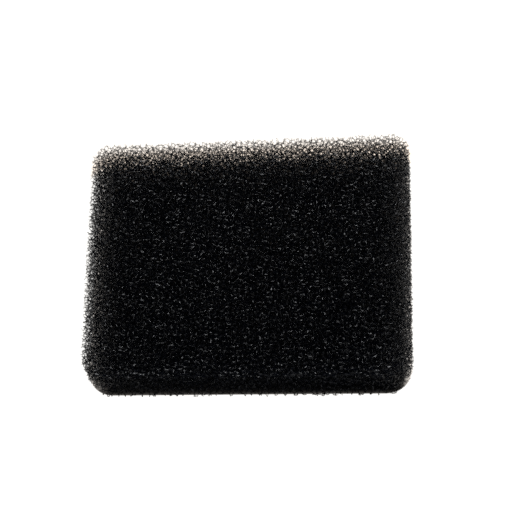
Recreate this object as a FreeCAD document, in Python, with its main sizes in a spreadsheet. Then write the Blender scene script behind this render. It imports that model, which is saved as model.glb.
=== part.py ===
"""Filter sponge: one block of open-cell foam, cut to a rounded rectangle.

The block lies flat on its lower broad face. Water passes through it from one
broad face to the other, and its rim is nipped by the walls of the tray that
holds it. Frame: origin at the centre of the lower face, +X along the length,
+Y across the width and +Z through the thickness. Lengths are in millimetres.
"""

import math
import os

import FreeCAD, Part
import Sketcher

# name in the sheet, value, what it sizes
DRIVING_SIZES = [
    ("block_length", 100.0, "overall, along X"),
    ("block_width", 80.0, "overall, along Y"),
    ("block_thickness", 16.0, "between the two broad faces, along Z"),
    ("corner_radius", 6.5, "the four upright corners, as the die cuts them"),
    ("edge_radius", 0.8, "the softened rims of both broad faces"),
]


def make_sheet(doc):
    """The spreadsheet that holds the driving sizes, one alias a row."""
    sheet = doc.addObject("Spreadsheet::Sheet", "Sizes")
    for row, (alias, value, note) in enumerate(DRIVING_SIZES, start=1):
        sheet.set(f"A{row}", alias)
        sheet.set(f"B{row}", str(value))
        sheet.set(f"C{row}", note)
        sheet.setAlias(f"B{row}", alias)
    doc.recompute()
    return sheet


def origin_plane(body, role):
    """One of the body's own three origin planes."""
    return next(part for part in body.Origin.OriginFeatures if part.Role == role)


def add_rounded_rectangle(sketch, length, width, radius):
    """Draws the outline, centred on the origin, and returns its length, width and radius constraints.

    The geometry runs anticlockwise from the lower side: side, corner, side, corner.
    """
    half_x = length / 2
    half_y = width / 2
    inner_x = half_x - radius
    inner_y = half_y - radius
    corners = [(inner_x, -inner_y), (inner_x, inner_y), (-inner_x, inner_y), (-inner_x, -inner_y)]
    sides = [
        ((-inner_x, -half_y), (inner_x, -half_y)),
        ((half_x, -inner_y), (half_x, inner_y)),
        ((inner_x, half_y), (-inner_x, half_y)),
        ((-half_x, inner_y), (-half_x, -inner_y)),
    ]
    up = FreeCAD.Vector(0, 0, 1)
    quarter = math.pi / 2
    for turn, (side, corner) in enumerate(zip(sides, corners)):
        ends = [FreeCAD.Vector(x, y, 0) for x, y in side]
        sketch.addGeometry(Part.LineSegment(*ends), False)
        circle = Part.Circle(FreeCAD.Vector(corner[0], corner[1], 0), up, radius)
        start = (turn - 1) * quarter
        sketch.addGeometry(Part.ArcOfCircle(circle, start, start + quarter), False)

    start_point, end_point = 1, 2
    lower, right, upper, left = 0, 2, 4, 6
    for side in (lower, right, upper, left):
        arc = side + 1
        next_side = (side + 2) % 8
        sketch.addConstraint(Sketcher.Constraint("Tangent", side, end_point, arc, start_point))
        sketch.addConstraint(Sketcher.Constraint("Tangent", arc, end_point, next_side, start_point))
        if side != lower:
            sketch.addConstraint(Sketcher.Constraint("Equal", lower + 1, arc))
    for side in (lower, upper):
        sketch.addConstraint(Sketcher.Constraint("Horizontal", side))
    for side in (right, left):
        sketch.addConstraint(Sketcher.Constraint("Vertical", side))

    # the outline's middle is the sketch origin
    origin = (-1, 1)
    sketch.addConstraint(Sketcher.Constraint("Symmetric", lower, start_point, upper, start_point, *origin))
    across_x = Sketcher.Constraint("DistanceX", left, start_point, right, start_point, length)
    across_y = Sketcher.Constraint("DistanceY", lower, start_point, upper, start_point, width)
    rounding = Sketcher.Constraint("Radius", lower + 1, radius)
    return [sketch.addConstraint(constraint) for constraint in (across_x, across_y, rounding)]


def make_foam_block(doc, sheet):
    """The block: its outline padded to its thickness, with the rims of both broad faces softened."""
    body = doc.addObject("PartDesign::Body", "foam_block")
    body.Label = "foam_block"

    outline = body.newObject("Sketcher::SketchObject", "BlockOutline")
    outline.AttachmentSupport = [(origin_plane(body, "XY_Plane"), "")]
    outline.MapMode = "FlatFace"
    doc.recompute()
    driven = add_rounded_rectangle(outline, sheet.block_length, sheet.block_width, sheet.corner_radius)
    for constraint, alias in zip(driven, ("block_length", "block_width", "corner_radius")):
        outline.setExpression(f"Constraints[{constraint}]", f"Sizes.{alias}")

    slab = body.newObject("PartDesign::Pad", "BlockThickness")
    slab.Profile = outline
    slab.setExpression("Length", "Sizes.block_thickness")
    doc.recompute()

    rims = []
    for number, edge in enumerate(slab.Shape.Edges, start=1):
        box = edge.BoundBox
        if box.ZLength < slab.Shape.BoundBox.ZLength / 2:
            rims.append(f"Edge{number}")
    softened = body.newObject("PartDesign::Fillet", "SoftRims")
    softened.Base = (slab, rims)
    softened.setExpression("Radius", "Sizes.edge_radius")
    body.Tip = softened
    doc.recompute()
    return body


def check(doc, pieces):
    """Stops the build if any object failed or any piece isn't one sound solid."""
    for item in doc.Objects:
        if "Invalid" in item.State or "Error" in item.State:
            raise RuntimeError(f"{item.Label} failed: {item.State}")
    for piece in pieces:
        if piece.Shape.isNull() or not piece.Shape.isValid() or len(piece.Shape.Solids) != 1:
            raise RuntimeError(f"{piece.Label} isn't one valid solid")


doc = FreeCAD.newDocument("FilterSponge")
sizes = make_sheet(doc)
pieces = [make_foam_block(doc, sizes)]
doc.recompute()
check(doc, pieces)

os.makedirs("parts", exist_ok=True)
for piece in pieces:
    piece.Shape.exportStep(os.path.join("parts", piece.Label + ".step"))
    box = piece.Shape.optimalBoundingBox()
    size = " x ".join(f"{side:.2f}" for side in (box.XLength, box.YLength, box.ZLength))
    print(f"{piece.Label}: {size} mm, {piece.Shape.Volume / 1000:.2f} cm3")
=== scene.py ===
"""The filter sponge, dressed for looks: one block of black reticulated foam on a white table."""
import itertools
import math

import bpy
import numpy as np
from mathutils import Matrix, Vector
from mathutils.kdtree import KDTree


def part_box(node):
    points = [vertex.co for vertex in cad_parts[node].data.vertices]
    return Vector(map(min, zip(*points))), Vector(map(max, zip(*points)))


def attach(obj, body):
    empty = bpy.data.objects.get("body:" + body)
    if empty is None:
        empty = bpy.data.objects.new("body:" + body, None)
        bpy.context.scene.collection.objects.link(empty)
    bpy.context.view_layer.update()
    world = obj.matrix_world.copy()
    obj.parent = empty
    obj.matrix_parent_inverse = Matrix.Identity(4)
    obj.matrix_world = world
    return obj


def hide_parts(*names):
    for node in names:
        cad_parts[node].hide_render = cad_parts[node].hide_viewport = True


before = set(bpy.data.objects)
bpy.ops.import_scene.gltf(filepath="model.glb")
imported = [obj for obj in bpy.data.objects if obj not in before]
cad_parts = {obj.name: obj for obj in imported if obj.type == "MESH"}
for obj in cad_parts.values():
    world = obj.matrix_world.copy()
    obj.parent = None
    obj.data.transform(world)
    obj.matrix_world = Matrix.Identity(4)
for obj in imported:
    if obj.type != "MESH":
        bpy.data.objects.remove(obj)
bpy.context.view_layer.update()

# ---- The bubbles ---------------------------------------------------------------------------
# The foam is blown polyurethane. As the bun rises, gas bubbles crowd together until each one
# touches about fourteen others. Here each bubble is a point, pushed off its neighbours until
# they lie about a bubble's width apart, and they are larger in the unseen middle.

MM = 0.001
low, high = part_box("foam_block")
BLOCK = np.array(high - low) / MM
MIDDLE = np.array(high + low) / 2 / MM
CORNERS = np.array([[7.6, 5.6], [8.0, 5.0]])  # mm, radii: left then right corners, near then far
RIM_RADIUS = 0.8  # mm, the worn rims of both broad faces
BUBBLE = 1.7  # mm from one bubble's middle to the next, about fifteen to the inch
DEEP_BUBBLE = 2.8  # mm, in the middle of the block, where no light reaches
SHELL = 5.0  # mm of fine bubbles under every face
SHELL_STEP = 1.6  # mm over which they grow to the deep ones
SPARE = 1.8  # mm of bubbles outside the block, which the cut takes away
CROWDING = 1.16  # how far apart two bubbles push each other, as a share of their width
PUSH = 0.35  # how much of that one round of pushing does
CROWD = 24  # how many of its neighbours a bubble is pushed by
TINY = 1e-9  # keeps a length of nothing out of a division
CHANCE = np.random.default_rng(7)


def depth(points):
    """How far below the block's cut faces each point lies, in mm, and negative outside."""
    off = points[:, :2] - MIDDLE[:2]
    radius = CORNERS[tuple((off > 0).astype(int).T)]
    across = np.abs(off) - (BLOCK[:2] / 2 - radius[:, None])
    corner = np.hypot(*np.maximum(across, 0).T) + np.minimum(across.max(1), 0)
    side = radius - corner
    face = BLOCK[2] / 2 - np.abs(points[:, 2] - MIDDLE[2])
    rim = RIM_RADIUS - np.hypot(np.maximum(RIM_RADIUS - side, 0), np.maximum(RIM_RADIUS - face, 0))
    return rim + np.maximum(np.minimum(side, face) - RIM_RADIUS, 0)


def bubble_size(points):
    """The bubble's width at each point, which grows over a short step below the shell."""
    step = np.clip((depth(points) - SHELL + SHELL_STEP / 2) / SHELL_STEP, 0, 1)
    return BUBBLE + (DEEP_BUBBLE - BUBBLE) * step


def one_to_each_cube(width):
    """One bubble somewhere in each cube of a grid over the block and its spare."""
    room = BLOCK + 2 * SPARE
    number = np.round(room / width).astype(int)
    cubes = np.stack(np.meshgrid(*map(np.arange, number), indexing="ij"), -1).reshape(-1, 3)
    return (cubes + CHANCE.random(cubes.shape)) * room / number + MIDDLE - room / 2


def nearest(points, number):
    """The nearest other points of each point, nearest first."""
    tree = KDTree(len(points))
    for i, p in enumerate(points):
        tree.insert(p, i)
    tree.balance()
    return np.array([[n[1] for n in tree.find_n(p, number + 1)[1:]] for p in points])


def crowd(points, near, rounds):
    """The bubbles after some rounds of pushing those that sit too close off each other."""
    for _ in range(rounds):
        between = points[:, None] - points[near]
        gap = np.sqrt((between**2).sum(2)) + TINY
        size = bubble_size(points)
        wanted = CROWDING * (size[:, None] + size[near]) / 2
        push = PUSH * np.maximum(1 - gap / wanted, 0) * wanted / gap
        move = (between * push[:, :, None]).sum(1)
        move[depth(points + move) < -SPARE] = 0
        points = points + move
    return points


shell = one_to_each_cube(BUBBLE)
deep = one_to_each_cube(DEEP_BUBBLE)
bubbles = np.concatenate([shell[depth(shell) < SHELL], deep[depth(deep) >= SHELL]])
bubbles = bubbles[depth(bubbles) > -SPARE]
for rounds in (10, 6):
    bubbles = crowd(bubbles, nearest(bubbles, CROWD), rounds)
bubbles = bubbles[np.argsort(bubbles[:, 0])]

# ---- The joints between the bubbles --------------------------------------------------------
# Four bubbles meet at each joint of the foam, the point that is as far from all four and has
# no fifth bubble nearer. Two joints that share three of their bubbles are the ends of a strut.

NEIGHBOURS = 36  # the nearest bubbles that each one is tested against
PARTNERS = 26  # how many of them may share a joint with it
MOST_LATER = 20  # the most of those that come after it in the list, so that no joint is found twice
REACH = 1.95  # how far apart two bubbles of a joint may be, as a share of the distance to the closest
CLOSEST = 6  # how many of the closest bubbles that distance is averaged over
FURTHEST = 0.6  # how far the joint may be from its bubbles, as a share of that reach
FLAT = 1e-6  # four bubbles that span less than this lie in one plane
BATCHES = (0, 3, 7, 14, 24, NEIGHBOURS)  # neighbours are tested nearest first, as most joints fail early
CHUNK = 1000  # how many bubbles are worked on at a time
PULL = 0.5  # how far towards its neighbours' middle surface tension moves a joint at a time
TRIPLES = np.array(sorted(itertools.combinations(range(MOST_LATER), 3), key=lambda c: c[::-1]))
FIRST, SECOND, THIRD = TRIPLES.T
SIDES = [i * MOST_LATER + j for i, j in ((FIRST, SECOND), (FIRST, THIRD), (SECOND, THIRD))]
TRIPLES_OF = np.array([math.comb(k, 3) for k in range(MOST_LATER + 1)])


def cross(a, b):
    """The cross product of two vectors, each given as its three components."""
    return a[1] * b[2] - a[2] * b[1], a[2] * b[0] - a[0] * b[2], a[0] * b[1] - a[1] * b[0]


def find_joints(points, near, first, last):
    """The joints whose lowest-numbered bubble is from first up to last: the four bubbles, and the place."""
    own = np.arange(first, last)
    around = near[own, :PARTNERS]
    later = around > own[:, None]
    front = np.argsort(~later, axis=1, kind="stable")[:, :MOST_LATER]
    around = np.take_along_axis(around, front, 1)
    arm = points[around] - points[own][:, None]
    reach = REACH * np.sqrt((arm[:, :CLOSEST] ** 2).sum(2)).mean(1)
    close = (((arm[:, :, None] - arm[:, None]) ** 2).sum(3) < (reach**2)[:, None, None]).ravel()

    # each bubble with every three of its later neighbours that are all near each other
    number = TRIPLES_OF[np.minimum(later.sum(1), MOST_LATER)]
    row = np.repeat(np.arange(len(own)), number)
    triple = np.arange(number.sum()) - np.repeat(np.cumsum(number) - number, number)
    for side in SIDES:
        touch = close.take(row * MOST_LATER**2 + side.take(triple))
        row, triple = row[touch], triple[touch]

    # the point that is as far from all four
    flat = arm.reshape(-1, 3)
    a, b, c = (flat.take(row * MOST_LATER + k.take(triple), axis=0).T for k in (FIRST, SECOND, THIRD))
    bc, ca, ab = cross(b, c), cross(c, a), cross(a, b)
    aa, bb, cc = (a**2).sum(0), (b**2).sum(0), (c**2).sum(0)
    volume = 2 * (a[0] * bc[0] + a[1] * bc[1] + a[2] * bc[2])
    volume[np.abs(volume) < FLAT] = FLAT
    place = np.stack([(aa * x + bb * y + cc * z) / volume for x, y, z in zip(bc, ca, ab)], 1)

    # it is a joint if no fifth bubble is nearer
    apart = (place**2).sum(1)
    kept = np.nonzero(apart < (FURTHEST * reach[row]) ** 2)[0]
    for start, end in itertools.pairwise(BATCHES):
        mine = own[row[kept]]
        others = points[near[mine, start:end]] - (place[kept] + points[mine])[:, None]
        kept = kept[((others**2).sum(2) > apart[kept][:, None] * (1 - TINY)).all(1)]
    row, triple = row[kept], triple[kept]
    trio = [around.ravel()[row * MOST_LATER + k[triple]] for k in (FIRST, SECOND, THIRD)]
    return np.stack([own[row], *trio], 1), place[kept] + points[own[row]]


near = nearest(bubbles, NEIGHBOURS)
found = [
    find_joints(bubbles, near, i, min(i + CHUNK, len(bubbles)))
    for i in range(0, len(bubbles), CHUNK)
]
meeting = np.sort(np.concatenate([four for four, _ in found]), 1)
joints = np.concatenate([place for _, place in found])

# A strut leaves a joint on the side away from one of its four bubbles: that is its port.
total = len(meeting)
threes = np.concatenate([np.delete(meeting, port, 1) for port in range(4)])
key = (threes[:, 0] * len(bubbles) + threes[:, 1]) * len(bubbles) + threes[:, 2]
order = np.argsort(key, kind="stable")
shared = np.nonzero(key[order][1:] == key[order][:-1])[0]
start, start_port = order[shared] % total, order[shared] // total
end, end_port = order[shared + 1] % total, order[shared + 1] // total

# Surface tension pulls each joint towards the middle of its four neighbours.
whole = np.bincount(np.concatenate([start, end]), minlength=total) == 4
for _ in range(2):
    pull = np.stack(
        [
            np.bincount(start, joints[end, axis], total) + np.bincount(end, joints[start, axis], total)
            for axis in range(3)
        ],
        1,
    )
    joints = np.where(whole[:, None], (1 - PULL) * joints + PULL * pull / 4, joints)

# The block has been pressed hard along its near top edge, so the bubbles there are squashed flat.
PRESS = 0.65  # the share that the very edge is squashed by
PRESS_REACH = 2.4  # mm over which that dies away


def squash(points):
    """How much the foam is squashed at each point, and where that moves the point to."""
    edge = MIDDLE[1:] + BLOCK[1:] / 2 * (-1, 1)
    off = points[:, 1:] - edge
    share = PRESS * np.exp(-np.abs(off).sum(1) / PRESS_REACH)
    return share, np.column_stack([points[:, 0], edge + off * (1 - share[:, None])])


squashed, joints = squash(joints)
bubbles = squash(bubbles)[1]

# ---- The struts ----------------------------------------------------------------------------
# A gas flame has burst the films between the bubbles and left the struts along their edges,
# three-sided bars that flow together four at a joint. Each joint is a small eight-sided knot:
# four of its sides face its bubbles, and a strut grows from each of the other four.

STRUT = 0.155  # mm across, on average, at the fine bubbles
STRUT_GROWTH = 1.5  # the power of the bubbles' width that this grows with
STRUT_SPREAD = 0.15  # how much a joint's thickness varies
STRUT_PRESSED = 2.8  # how much wider a strut gets for the share that it is squashed by
STRUT_AT_FOOT = 1.7  # how much thicker the frayed struts along the foot are
FOOT = 1.5  # mm, how high that frayed foot reaches
KNOT = 0.74  # from a joint's middle to its six points, as a share of the strut's width
STUB = 0.7  # mm, the longest end that a cut strut leaves standing
SHORTEST_STUB = 0.02  # and the shortest, as a share of the whole strut
TEAR = 0.5  # mm, the furthest outside the face that a joint is left on
FRAY = 1.0  # mm, the furthest that whole bubbles stand out along the foot of the near side
POINTS = list(itertools.combinations(range(4), 2))
PORT_POINTS = np.array([[i for i, pair in enumerate(POINTS) if m in pair] for m in range(4)])
BUBBLE_POINTS = np.array([[i for i, pair in enumerate(POINTS) if k not in pair] for k in range(4)])


def unit(vectors):
    """The vectors at a length of one."""
    return vectors / np.maximum(np.linalg.norm(vectors, axis=-1, keepdims=True), TINY)


# A joint's four ways out run along its struts, or where it has none, straight away from the bubble.
ways = unit(joints[:, None] - bubbles[meeting])
along = unit(joints[end] - joints[start])
ways[start, start_port] = along
ways[end, end_port] = -along

# A knot's six points lie between its ways, two at a time.
height = joints[:, 2] - MIDDLE[2] + BLOCK[2] / 2
at_foot = (height > 0) & (height < FOOT) & (joints[:, 1] < MIDDLE[1] - BLOCK[1] / 2)
width = STRUT * (bubble_size(joints) / BUBBLE) ** STRUT_GROWTH * np.where(at_foot, STRUT_AT_FOOT, 1)
width = width * (1 + STRUT_SPREAD * CHANCE.uniform(-1, 1, total)) * (1 + STRUT_PRESSED * squashed)
knots = np.stack([unit(ways[:, m] + ways[:, n]) for m, n in POINTS], 1)
knots = joints[:, None] + KNOT * width[:, None, None] * knots

# The blade tears the foam as it cuts. It leaves some joints on outside the face, and along the foot
# whole bubbles.
left_on = TEAR * CHANCE.random(total) ** 2
frayed = FRAY * CHANCE.random(len(bubbles))
left_on[at_foot] = frayed[meeting[at_foot]].max(1)
inside = depth(joints) > -left_on

# Each strut starts at a joint that is kept. Those with neither joint kept are gone.
swap = inside[end] & ~inside[start]
start, end = np.where(swap, end, start), np.where(swap, start, end)
start_port, end_port = np.where(swap, end_port, start_port), np.where(swap, start_port, end_port)
kept = inside[start]
start, end, start_port, end_port = start[kept], end[kept], start_port[kept], end_port[kept]

from_points = start[:, None] * len(POINTS) + PORT_POINTS[start_port]
to_points = end[:, None] * len(POINTS) + PORT_POINTS[end_port]
corners = knots.reshape(-1, 3)

# A strut that leaves the block is cut off just outside the face, where the blade let it spring back.
cut = np.nonzero(~inside[end])[0]
stub = STUB * CHANCE.random((cut.size, 1)) ** 2
near_end, far_end = corners[from_points[cut]], corners[to_points[cut]]
near_depth = depth(near_end.reshape(-1, 3)).reshape(-1, 3)
far_depth = depth(far_end.reshape(-1, 3)).reshape(-1, 3)
share = np.clip((near_depth + stub) / (near_depth - far_depth), SHORTEST_STUB, 1)[:, :, None]
cut_points = near_end + (far_end - near_end) * share
to_points[cut] = len(corners) + np.arange(cut.size * 3).reshape(-1, 3)
corners = np.concatenate([corners, cut_points.reshape(-1, 3)])


def facing(triangles, outward):
    """The triangles, turned round where they face against outward."""
    a, b, c = (corners[triangles[:, k]] for k in range(3))
    wrong = (np.cross(b - a, c - a) * outward).sum(1) < 0
    triangles[wrong] = triangles[wrong][:, ::-1]
    return triangles


# The skin: the sides of the knots that face their bubbles, lids on the ways that no strut takes, the
# three sides of each strut, and the cut ends. Each triangle belongs to a joint.
own = np.nonzero(inside)[0]
triangles, belongs = [], []
for k in range(4):
    side = own[:, None] * len(POINTS) + BUBBLE_POINTS[k]
    triangles.append(facing(side, corners[side].mean(1) - joints[own]))
    belongs.append(own)
taken = np.zeros((total, 4), bool)
taken[start, start_port] = True
taken[end, end_port] = True
for m in range(4):
    bare = own[~taken[own, m]]
    side = bare[:, None] * len(POINTS) + PORT_POINTS[m]
    triangles.append(facing(side, ways[bare, m]))
    belongs.append(bare)
axis = corners[from_points].mean(1)
for r in range(3):
    s = (r + 1) % 3
    p, q = from_points[:, r], from_points[:, s]
    u, v = to_points[:, r], to_points[:, s]
    outward = (corners[p] + corners[q]) / 2 - axis
    triangles.append(facing(np.stack([p, q, v], 1), outward))
    triangles.append(facing(np.stack([p, v, u], 1), outward))
    belongs += [start, start]
triangles.append(facing(to_points[cut].copy(), corners[to_points[cut]].mean(1) - axis[cut]))
belongs.append(start[cut])
triangles = np.concatenate(triangles)
belongs = np.concatenate(belongs)

# The block was cut a little out of square. This is how far each corner is off, in mm: the left then
# the right corners, near then far.
OFF_SQUARE = np.array([[[-0.1, -0.4], [-0.9, -0.7]], [[1.0, -0.3], [0.1, 1.4]]])


def out_of_square(points):
    """Where points go across the block when its corners move by that much."""
    to_right, to_far = np.clip((points[:, :2] - MIDDLE[:2]) / BLOCK[:2] + 0.5, 0, 1).T[:, :, None]
    left_side = OFF_SQUARE[0, 0] * (1 - to_far) + OFF_SQUARE[0, 1] * to_far
    right_side = OFF_SQUARE[1, 0] * (1 - to_far) + OFF_SQUARE[1, 1] * to_far
    return points[:, :2] + left_side * (1 - to_right) + right_side * to_right


corners[:, :2] = out_of_square(corners)

# ---- The foam's finish ---------------------------------------------------------------------
# The polyurethane is dyed black right through. The struts have a soft gloss, and the dye is
# a little thin, so that it leans to brown in places.

foam = bpy.data.materials.new("black_polyurethane_foam")
foam.use_nodes = True
nodes, links = foam.node_tree.nodes, foam.node_tree.links
shader = nodes["Principled BSDF"]
surface_place = nodes.new("ShaderNodeTexCoord")
patches = nodes.new("ShaderNodeTexNoise")
patches.inputs["Scale"].default_value = 260.0
patches.inputs["Detail"].default_value = 2.0
links.new(surface_place.outputs["Object"], patches.inputs["Vector"])
dye = nodes.new("ShaderNodeValToRGB")
full, thin = dye.color_ramp.elements
full.position = 0.35
full.color = (0.0020, 0.0019, 0.0019, 1)
thin.position = 0.70
thin.color = (0.0060, 0.0055, 0.0050, 1)
links.new(patches.outputs["Fac"], dye.inputs["Fac"])
links.new(dye.outputs["Color"], shader.inputs["Base Color"])
shader.inputs["Roughness"].default_value = 0.31
shader.inputs["Specular IOR Level"].default_value = 0.5

# ---- The block -----------------------------------------------------------------------------
# The sponge is one piece of foam. Its struts are too many for one mesh, so the block is drawn
# as a grid of squares, which meet at the same knots with nothing between them.

SQUARES = (5, 4)
across_block = (joints[:, :2] - MIDDLE[:2]) / BLOCK[:2] + 0.5
square = np.clip(np.floor(across_block * SQUARES), 0, np.array(SQUARES) - 1).astype(int)
square = (square[:, 0] * SQUARES[1] + square[:, 1])[belongs]
for i in range(SQUARES[0] * SQUARES[1]):
    used, faces = np.unique(triangles[square == i], return_inverse=True)
    faces = faces.reshape(-1).astype(np.int32)
    mesh = bpy.data.meshes.new("foam_mesh")
    mesh.vertices.add(len(used))
    mesh.vertices.foreach_set("co", (corners[used] * MM).astype(np.float32).ravel())
    mesh.loops.add(len(faces))
    mesh.loops.foreach_set("vertex_index", faces)
    mesh.polygons.add(len(faces) // 3)
    mesh.polygons.foreach_set("loop_start", np.arange(0, len(faces), 3, dtype=np.int32))
    mesh.update(calc_edges=True)
    mesh.shade_flat()
    mesh.materials.append(foam)
    piece = bpy.data.objects.new(f"foam_{i // SQUARES[1] + 1}_{i % SQUARES[1] + 1}", mesh)
    bpy.context.scene.collection.objects.link(piece)
    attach(piece, "root")
    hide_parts("foam_block")

# ---- The table and the room ----------------------------------------------------------------
# The block lies on a white table in front of a white backdrop, so brightly lit that the eye sees
# plain white. The room that lights the foam is dim, with one window high in front of the block.

WHITE = np.array([1.17, 1.155, 1.12])
TABLE_DROP = 0.4  # mm below the block's lower face
TO_WINDOW = (0.0, -0.83, 0.56)  # the way from the block to the window


def shown_as(tree, shader_kind, shader, output):
    """Shows the eye a plain glow, whose shader this returns, while the real surface does the lighting."""
    glow = tree.nodes.new(shader_kind)
    seen = tree.nodes.new("ShaderNodeLightPath")
    mix = tree.nodes.new("ShaderNodeMixShader")
    tree.links.new(seen.outputs["Is Camera Ray"], mix.inputs["Fac"])
    tree.links.new(shader.outputs[0], mix.inputs[1])
    tree.links.new(glow.outputs[0], mix.inputs[2])
    tree.links.new(mix.outputs["Shader"], output.inputs["Surface"])
    return glow


def glowing_paint(name, reflects):
    """A matt paint of this greyness that shows as a plain glow: the paint, its real surface and its glow."""
    paint = bpy.data.materials.new(name)
    paint.use_nodes = True
    paint.cycles.emission_sampling = "NONE"  # the glow lights nothing, so no light is looked for in it
    surface = paint.node_tree.nodes["Principled BSDF"]
    surface.inputs["Base Color"].default_value = (reflects, reflects, reflects, 1)
    surface.inputs["Roughness"].default_value = 0.9
    output = paint.node_tree.nodes["Material Output"]
    return paint, surface, shown_as(paint.node_tree, "ShaderNodeEmission", surface, output)


bpy.ops.mesh.primitive_plane_add(size=8, location=(0, 0, -TABLE_DROP * MM))
table = bpy.context.object
table.name = "table"
paint, _, glow = glowing_paint("white_table", 0.95)
glow.inputs["Color"].default_value = (*WHITE, 1)
table.data.materials.append(paint)

room = bpy.data.worlds.new("white_room")
room.use_nodes = True
room.cycles.sampling_method = "NONE"
nodes, links = room.node_tree.nodes, room.node_tree.links
dim = nodes["Background"]
direction = nodes.new("ShaderNodeTexCoord")
towards_window = nodes.new("ShaderNodeVectorMath")
towards_window.operation = "DOT_PRODUCT"
towards_window.inputs[1].default_value = TO_WINDOW
window = nodes.new("ShaderNodeMapRange")
window.inputs["From Min"].default_value = 0.90
window.inputs["From Max"].default_value = 0.97
light = nodes.new("ShaderNodeMix")
light.data_type = "RGBA"
light.inputs["A"].default_value = (0.020, 0.030, 0.066, 1)
light.inputs["B"].default_value = (0.9, 0.92, 0.96, 1)
links.new(direction.outputs["Generated"], towards_window.inputs[0])
links.new(towards_window.outputs["Value"], window.inputs["Value"])
links.new(window.outputs["Result"], light.inputs["Factor"])
links.new(light.outputs["Result"], dim.inputs["Color"])
glow = shown_as(room.node_tree, "ShaderNodeBackground", dim, nodes["World Output"])
glow.inputs["Color"].default_value = (*WHITE, 1)
bpy.context.scene.world = room

# ---- Painted light and shade by the block --------------------------------------------------
# A sheet just above the table, round and under the block, carries painted light and shade. Beside the block
# it shows the eye white table, with painted warm light and a painted shadow just behind the block. Under the
# block it is a dark sheet with painted light that leaks in, fading from white, or behind from a warm brown,
# to painted black shade.

SHEET_DROP = 0.2  # mm below the block's lower face
RINGS = (60, 12, 8, 6, 4, 2.5, 1.2, 0.5, 0.01, -0.01, -0.2, -0.4, -0.7, -1, -1.5, -2.2, -3, -4, -5.5, -8)
CORNER_TURNS = np.linspace(0, 90, 9)  # degrees, the points of a ring round each corner
SHARPEST = 0.5  # mm, the least radius of a ring's corner
SHEET_GLOW = np.array([[0.035, 1.6], [2.2, 1.6]])  # the painted glow that the sheet throws up near and far, then left and right
PAINTED_WARM_REACH = 4  # mm behind the block, and forward along its ends, that the table is painted with warm light
PAINTED_WARM_FADE = 3  # mm over which that dies away
SHADE = (0.3, 0.6)  # the strength of the painted shadow close behind the block, and its reach in mm
SHADE_ALONG = 3  # mm that this painted shadow reaches forward along the ends
LEFT_LEAK = (1.45, 1.4)  # the strength of the painted light that leaks in under a side, and its reach in mm
RIGHT_LEAK = (1.1, 1.8)
NEAR_LEAK = (0.12, 0.35)
FAR_LEAK = (0.72, 2.2)
CORNER_LOSS = (0.5, 6)  # what the two ends take off the far side's leak, and how far in
# Colours of painted light: warm light behind the block, the painted glow, and grey and brown light leaked in
# under the block.
PAINTED_WARM_LIGHT = np.array([1.37, 1.18, 1.00])
SHEET_GLOW_COLOUR = np.array([1.0, 0.97, 0.93])
PAINTED_GREY_LEAK = np.array([1.0, 0.93, 0.86])
PAINTED_BROWN_LEAK = np.array([1.0, 0.84, 0.70])


def fade(distance, strength, reach, power=1):
    """A light of this strength that dies away over this reach, and for a higher power with a softer start."""
    return strength * np.exp(-((distance / reach) ** power))


def ring_round_block(outside):
    """A ring this many mm outside the block: its points, and the painted glow that each throws up."""
    points, sheet_glow = [], []
    for to_right, to_far, first in ((1, 1, 0), (0, 1, 90), (0, 0, 180), (1, 0, 270)):
        radius = max(CORNERS[to_right, to_far] + outside, SHARPEST)
        middle = np.array([2 * to_right - 1, 2 * to_far - 1]) * (BLOCK[:2] / 2 + outside - radius)
        for turn in np.radians(first + CORNER_TURNS):
            way = np.array([math.cos(turn), math.sin(turn)])
            points.append(middle + radius * way)
            sheet_glow.append(SHEET_GLOW[1, to_right] * way[0] ** 2 + SHEET_GLOW[0, to_far] * way[1] ** 2)
    return np.array(points), np.array(sheet_glow) * (outside > 0)


def painted_beside_block(outside, far):
    """The sheet's colour outside the block: white, with painted warm light and a little painted shadow just
    behind it.
    """
    painted_warm = np.clip(1 - far / PAINTED_WARM_REACH, 0, 1) * fade(max(outside - PAINTED_WARM_REACH, 0), 1, PAINTED_WARM_FADE)
    shade = 1 - np.clip(1 - far / SHADE_ALONG, 0, 1) * fade(outside, *SHADE)
    return (WHITE + (PAINTED_WARM_LIGHT - WHITE) * painted_warm[:, None]) * shade[:, None]


def painted_under_block(left, right, near, far):
    """The sheet's colour under the block, painted light that leaks in and painted shade, from the distance in
    mm to each of its four sides.
    """
    leak = fade(left, *LEFT_LEAK) + fade(right, *RIGHT_LEAK, power=2) + fade(near, *NEAR_LEAK)
    brown_leak = (1 - fade(left, *CORNER_LOSS) - fade(right, *CORNER_LOSS)) * fade(far, *FAR_LEAK)
    return np.maximum(PAINTED_GREY_LEAK * leak[:, None], PAINTED_BROWN_LEAK * brown_leak[:, None])


# Each ring is painted with the light and shade that the eye sees on the table there.
ring_points, ring_painted_light_and_shade, ring_sheet_glow = [], [], []
for outside in RINGS:
    ring, sheet_glow = ring_round_block(outside)
    from_left, from_near = (ring + BLOCK[:2] / 2).T
    from_right, from_far = (BLOCK[:2] / 2 - ring).T
    if outside > 0:
        ring_painted_light_and_shade.append(painted_beside_block(outside, from_far))
    else:
        ring_painted_light_and_shade.append(painted_under_block(from_left, from_right, from_near, from_far))
    ring_points.append(ring + MIDDLE[:2])
    ring_sheet_glow.append(np.outer(sheet_glow, SHEET_GLOW_COLOUR))

count = len(ring_points[0])
faces = []
for first in range(0, count * (len(RINGS) - 1), count):
    for i in range(count):
        after = (i + 1) % count
        faces.append((first + i, first + after, first + count + after, first + count + i))
faces.append(tuple(range(count * (len(RINGS) - 1), count * len(RINGS))))
points = [(x * MM, y * MM, -SHEET_DROP * MM) for x, y in out_of_square(np.concatenate(ring_points))]
mesh = bpy.data.meshes.new("sheet_of_painted_light_and_shade")
mesh.from_pydata(points, [], faces)

# A dark sheet, painted with the light and shade seen on the table round and under the block.
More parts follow.
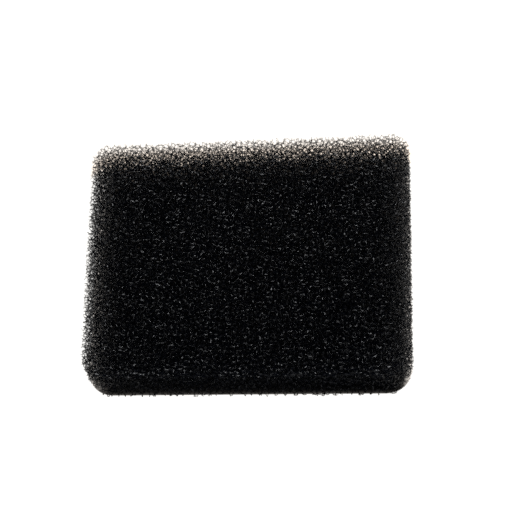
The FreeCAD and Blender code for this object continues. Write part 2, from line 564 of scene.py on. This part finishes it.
paint, surface, glow = glowing_paint("sheet_of_painted_light_and_shade", 0.05)
# A painted glow: the sheet gives off light beside the block, as if the bright table threw it up into the
# foam's edges, though it is no lamp.
surface.inputs["Emission Strength"].default_value = 1.0
for name, colours, socket in (
    ("painted_light_and_shade", ring_painted_light_and_shade, glow.inputs["Color"]),
    ("sheet_glow", ring_sheet_glow, surface.inputs["Emission Color"]),
):
    attribute = mesh.color_attributes.new(name, "FLOAT_COLOR", "POINT")
    for item, colour in zip(attribute.data, np.concatenate(colours)):
        item.color = (*colour, 1)
    reader = paint.node_tree.nodes.new("ShaderNodeAttribute")
    reader.attribute_name = name
    paint.node_tree.links.new(reader.outputs["Color"], socket)
mesh.materials.append(paint)
sheet = bpy.data.objects.new("sheet_of_painted_light_and_shade", mesh)
bpy.context.scene.collection.objects.link(sheet)

# ---- The lamp ------------------------------------------------------------------------------
# One long, low softbox stands behind the block. Its light rakes over the top of the foam and
# draws the glints on the struts.

lamp = bpy.data.lights.new("softbox_behind", "AREA")
lamp.shape = "RECTANGLE"
lamp.size = 0.48
lamp.size_y = 0.045
lamp.energy = 1.75
lamp.color = (0.98, 1.0, 1.03)
softbox = bpy.data.objects.new("softbox_behind", lamp)
softbox.location = (0.0, 0.42, 0.175)
softbox.rotation_euler = (-softbox.location).to_track_quat("-Z", "Y").to_euler()
bpy.context.scene.collection.objects.link(softbox)

# ---- The camera ----------------------------------------------------------------------------
# It looks down on the block from the front, a little from the right, and is held at a slight
# tilt. No denoiser is used, because one takes the glints off the struts.

DISTANCE = 0.6391
ELEVATION = math.radians(64.74)
AZIMUTH = math.radians(13.8)
ROLL = math.radians(-13.32)
AIM = Vector((0.00113, 0.00678, 0.0))
level = Vector((math.sin(AZIMUTH), -math.cos(AZIMUTH), 0))
backwards = level * math.cos(ELEVATION) + Vector((0, 0, math.sin(ELEVATION)))
sideways = Vector((0, 0, 1)).cross(backwards).normalized()
upwards = backwards.cross(sideways)
tilted_sideways = sideways * math.cos(ROLL) + upwards * math.sin(ROLL)
tilted_upwards = upwards * math.cos(ROLL) - sideways * math.sin(ROLL)
lens = bpy.data.cameras.new("camera")
lens.lens = 140.6
lens.sensor_width = 36
lens.clip_start = 0.05
camera = bpy.data.objects.new("camera", lens)
turn = Matrix((tilted_sideways, tilted_upwards, backwards)).transposed().to_4x4()
camera.matrix_world = Matrix.Translation(AIM + backwards * DISTANCE) @ turn
bpy.context.scene.collection.objects.link(camera)
bpy.context.scene.camera = camera
bpy.context.scene.view_settings.view_transform = "Standard"
bpy.context.scene.cycles.use_denoising = False
bpy.context.scene.cycles.filter_width = 1.75
